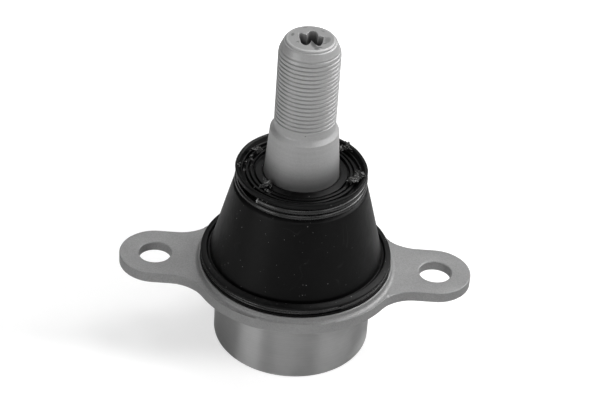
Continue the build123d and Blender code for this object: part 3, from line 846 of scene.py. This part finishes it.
class BALLJOINT_OT_housing(bpy.types.Operator):
    """Finish the housing: turned barrel below, blasted flange and ears above"""

    bl_idname = "balljoint.housing"
    bl_label = "Housing finish"

    def execute(self, context):
        colours = context.scene.balljoint_colours
        weld, turned_top, turned_r = 1e-6, 2.2, 27.2
        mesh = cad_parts["housing"].data.copy()
        mesh.name = "forged_housing"
        mesh.materials.clear()
        work = bmesh.new()
        work.from_mesh(mesh)
        bmesh.ops.remove_doubles(work, verts=work.verts, dist=weld)
        work.to_mesh(mesh)
        work.free()
        mesh.materials.append(flange_steel(colours))
        mesh.materials.append(barrel_steel(colours))
        centres = np.zeros(len(mesh.polygons) * 3)
        mesh.polygons.foreach_get("center", centres)
        centres = centres.reshape(-1, 3) / MM
        reach = np.hypot(centres[:, 0], centres[:, 1])
        turned_part = (centres[:, 2] < turned_top) & (reach < turned_r)
        mesh.polygons.foreach_set("material_index", turned_part.astype(np.int32))
        mesh.shade_smooth()
        mesh.set_sharp_from_angle(angle=math.radians(28))
        made = bpy.data.objects.new("forged_housing", mesh)
        context.scene.collection.objects.link(made)
        even = made.modifiers.new("even normals", "WEIGHTED_NORMAL")
        even.weight, even.keep_sharp = 100, True
        finished = bpy.data.meshes.new_from_object(made.evaluated_get(context.evaluated_depsgraph_get()))
        made.modifiers.clear()
        made.data = finished
        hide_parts("housing")
        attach(made, "housing")
        return {"FINISHED"}


class BALLJOINT_OT_inner_parts(bpy.types.Operator):
    """Give the plate, sleeve, spring, shells and seal inside the joint their finishes"""

    bl_idname = "balljoint.inner_parts"
    bl_label = "Inner parts"

    def execute(self, context):
        colours = context.scene.balljoint_colours
        plate, spring, plastic = zinc_plate(), spring_steel(), shell_plastic()
        rubber = bpy.data.materials.get("boot rubber") or boot_rubber(colours)
        for node, finish in (
            ("cover_plate", plate), ("slide_sleeve", plate), ("support_ring", plate),
            ("disc_spring", spring), ("cover_seal", rubber),
            ("lower_bearing_shell", plastic), ("upper_bearing_shell", plastic),
        ):
            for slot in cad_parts[node].material_slots:
                slot.material = finish
        return {"FINISHED"}


class BALLJOINT_OT_studio(bpy.types.Operator):
    """Set the pale floor, the soft lamps, the surroundings and the camera"""

    bl_idname = "balljoint.studio"
    bl_label = "Studio"

    def execute(self, context):
        self.floor(context)
        self.surroundings(context)
        self.lamps(context)
        self.camera(context)
        context.scene.view_settings.view_transform = "Standard"
        return {"FINISHED"}

    def sight(self, tree):
        """The Light Path node's outputs, and 1 for a ray by which the camera sees, also through glass."""
        rays = add(tree, "ShaderNodeLightPath").outputs
        return rays, reckon(tree, "MAXIMUM", rays["Is Camera Ray"], rays["Is Transmission Ray"])

    def floor_lift_and_painted_light(self, tree):
        """How much the floor is lifted towards white: more in front, at the right and far away, painted
        light that hides the floor's shadow and the lamps' fall-off there.
        """
        place = add(tree, "ShaderNodeTexCoord").outputs["Object"]
        split = add(tree, "ShaderNodeSeparateXYZ", {0: place}).outputs
        away = add(tree, "ShaderNodeVectorMath", {0: place}, operation="LENGTH").outputs["Value"]
        in_front = spread(tree, split["Y"], -0.030, -0.010, 0.80, 0.57)
        at_right = spread(tree, split["X"], 0.004, 0.028, 0.0, 0.16)
        far_away = spread(tree, away, 0.11, 0.22, 0.0, 0.6)
        return reckon(tree, "ADD", reckon(tree, "ADD", in_front, at_right), far_away)

    def floor(self, context):
        """Pale floor under the barrel, which takes the shadow and is lifted towards white, more in front and
        at the right: painted light that hides the shadow there.

        The light of lamps below passes through it, and from below it is clear.
        """
        base, half = CAD_BOX[0][2], 4
        mesh = bpy.data.meshes.new("floor")
        corners = [(-half, -half, base), (half, -half, base), (half, half, base), (-half, half, base)]
        mesh.from_pydata(corners, [], [(0, 1, 2, 3)])
        finish = bpy.data.materials.new("floor paint")
        finish.use_nodes = True
        tree = finish.node_tree
        tree.nodes.clear()
        rays, seen = self.sight(tree)
        dull = reckon(tree, "MAXIMUM", seen, rays["Is Glossy Ray"])
        paint = add(tree, "ShaderNodeBsdfDiffuse", {"Color": blend_colour(tree, dull, grey(0.8), grey(0.5))})
        # the lift, larger in front, at the right and far away, is painted light over the floor's shadow
        strength = reckon(tree, "MULTIPLY", seen, self.floor_lift_and_painted_light(tree))
        lift = add(tree, "ShaderNodeEmission", {"Strength": strength})
        both = add(tree, "ShaderNodeAddShader", {0: paint.outputs[0], 1: lift.outputs[0]})
        clear = add(tree, "ShaderNodeBsdfTransparent")
        back = add(tree, "ShaderNodeNewGeometry").outputs["Backfacing"]
        through = reckon(tree, "MAXIMUM", back, rays["Is Shadow Ray"])
        surface = add(tree, "ShaderNodeMixShader", {0: through, 1: both.outputs[0], 2: clear.outputs[0]})
        add(tree, "ShaderNodeOutputMaterial", {"Surface": surface.outputs[0]})
        mesh.materials.append(finish)
        made = bpy.data.objects.new("floor", mesh)
        context.scene.collection.objects.link(made)

    def surroundings(self, context):
        """World: white where it is seen, and as light only a soft glow from behind at the right."""
        world = bpy.data.worlds.new("studio room")
        context.scene.world = world
        world.use_nodes = True
        tree = world.node_tree
        tree.nodes.clear()
        seen = self.sight(tree)[1]
        glow_from = (0.383, 0.663, 0.643)    # azimuth 60 degrees from +X, elevation 40
        cosine_of_50, cosine_of_5, brightest = 0.643, 0.996, 0.35
        ways = {0: add(tree, "ShaderNodeTexCoord").outputs["Generated"], 1: glow_from}
        towards = add(tree, "ShaderNodeVectorMath", ways, operation="DOT_PRODUCT").outputs["Value"]
        glow = spread(tree, towards, cosine_of_50, cosine_of_5, 0.0, brightest)
        room = add(tree, "ShaderNodeBackground", {"Strength": glow})
        white = add(tree, "ShaderNodeBackground", {"Strength": 1.0, "Color": grey(1)})
        mix = add(tree, "ShaderNodeMixShader", {0: seen, 1: room.outputs[0], 2: white.outputs[0]})
        add(tree, "ShaderNodeOutputWorld", {"Surface": mix.outputs[0]})

    # soft boxes: azimuth from +X and elevation in degrees, width and height in m, watts
    BOXES = (
        (60, 62, 0.60, 0.60, 4.4), (30, 35, 0.50, 0.50, 5.2), (0, 35, 0.50, 0.50, 1.6),
        (330, 35, 0.50, 0.50, 1.7), (300, 35, 0.50, 0.50, 0.5), (270, 35, 0.50, 0.50, 1.3),
        (240, 35, 0.50, 0.50, 0.42), (210, 35, 0.50, 0.50, 0.6), (225, 8, 0.28, 0.34, 1.15),
        (210, 8, 0.28, 0.34, 0.95), (180, 35, 0.50, 0.50, 0.22), (120, 35, 0.50, 0.50, 0.78),
        (120, 62, 0.60, 0.60, 1.2), (315, 8, 0.28, 0.34, 0.33), (255, 8, 0.28, 0.34, 0.13),
        (250, -70, 0.60, 0.60, 4.0),
    )
    BOX_DISTANCE = 1.1

    def lamps(self, context):
        """Soft boxes around the ball: the strongest behind and at the right, and one below the floor."""
        for azimuth, elevation, wide, high, watts in self.BOXES:
            turn, rise = math.radians(azimuth), math.radians(elevation)
            out = Vector((math.cos(turn) * math.cos(rise), math.sin(turn) * math.cos(rise), math.sin(rise)))
            place = self.BOX_DISTANCE * out
            data = bpy.data.lights.new(f"soft box {azimuth} {elevation}", "AREA")
            data.shape, data.size, data.size_y, data.energy = "RECTANGLE", wide, high, watts
            lamp = bpy.data.objects.new(data.name, data)
            facing = place.to_track_quat("Z", "Y").to_matrix().to_4x4()
            lamp.matrix_world = Matrix.Translation(place) @ facing
            context.scene.collection.objects.link(lamp)

    def camera(self, context):
        """Camera 650 mm from the flange's upper face, turned so that no lens shift is needed.

        It first looks at the middle of that face. It is then rolled about its own axis, and turned
        until the face's middle stands off the frame's centre by the two offsets.
        """
        distance, flange_top, frame_width, film_width = 0.65, 6.5 * MM, 600, 36
        focal, offset_x, offset_y = 1924.78, -4.956, 61.394    # in pixels of that frame
        elevation, azimuth, roll = (math.radians(a) for a in (37.70, -0.01, 4.083))
        across, above = offset_x / focal, offset_y / focal
        level = math.cos(elevation)
        back = Vector((math.sin(azimuth) * level, -math.cos(azimuth) * level, math.sin(elevation)))
        right = (-back).cross(Vector((0, 0, 1))).normalized()
        up = right.cross(-back)
        rolled_right = right * math.cos(roll) + up * math.sin(roll)
        rolled_up = up * math.cos(roll) - right * math.sin(roll)
        ahead = (-back - rolled_right * across + rolled_up * above).normalized()
        right = (rolled_right - ahead * rolled_right.dot(ahead)).normalized()
        pose = Matrix((right, right.cross(ahead), -ahead)).transposed().to_4x4()
        pose.translation = Vector((0, 0, flange_top)) + back * distance
        data = bpy.data.cameras.new("camera")
        data.sensor_width, data.lens, data.clip_start = film_width, film_width * focal / frame_width, 0.01
        made = bpy.data.objects.new("camera", data)
        made.matrix_world = pose
        context.scene.collection.objects.link(made)
        context.scene.camera = made


# --- Panel and registering -------------------------------------------------------------------

OPERATORS = (
    BALLJOINT_OT_studio,
    BALLJOINT_OT_stud,
    BALLJOINT_OT_boot,
    BALLJOINT_OT_rings,
    BALLJOINT_OT_flash,
    BALLJOINT_OT_housing,
    BALLJOINT_OT_inner_parts,
)


class BALLJOINT_PT_panel(bpy.types.Panel):
    """Sizes, colours and steps of the ball joint"""

    bl_label = "Ball joint"
    bl_space_type = "VIEW_3D"
    bl_region_type = "UI"
    bl_category = "Ball joint"

    def draw(self, context):
        scene = context.scene
        for group in (scene.balljoint_stud, scene.balljoint_boot, scene.balljoint_colours):
            box = self.layout.box()
            for key in group.__annotations__:
                box.prop(group, key)
        for operator in OPERATORS:
            self.layout.operator(operator.bl_idname)


CLASSES = (StudSizes, BootSizes, FinishColours, *OPERATORS, BALLJOINT_PT_panel)


def register():
    """Register the classes and hang the property groups on the scene."""
    for item in CLASSES:
        bpy.utils.register_class(item)
    bpy.types.Scene.balljoint_stud = PointerProperty(type=StudSizes)
    bpy.types.Scene.balljoint_boot = PointerProperty(type=BootSizes)
    bpy.types.Scene.balljoint_colours = PointerProperty(type=FinishColours)


def unregister():
    """Undo what register did."""
    del bpy.types.Scene.balljoint_stud, bpy.types.Scene.balljoint_boot, bpy.types.Scene.balljoint_colours
    for item in reversed(CLASSES):
        bpy.utils.unregister_class(item)


def main():
    """Make every piece in order."""
    register()
    bpy.ops.balljoint.studio()
    bpy.ops.balljoint.stud()
    bpy.ops.balljoint.boot()
    bpy.ops.balljoint.rings()
    bpy.ops.balljoint.flash()
    bpy.ops.balljoint.housing()
    bpy.ops.balljoint.inner_parts()


if __name__ == "__main__":
    main()
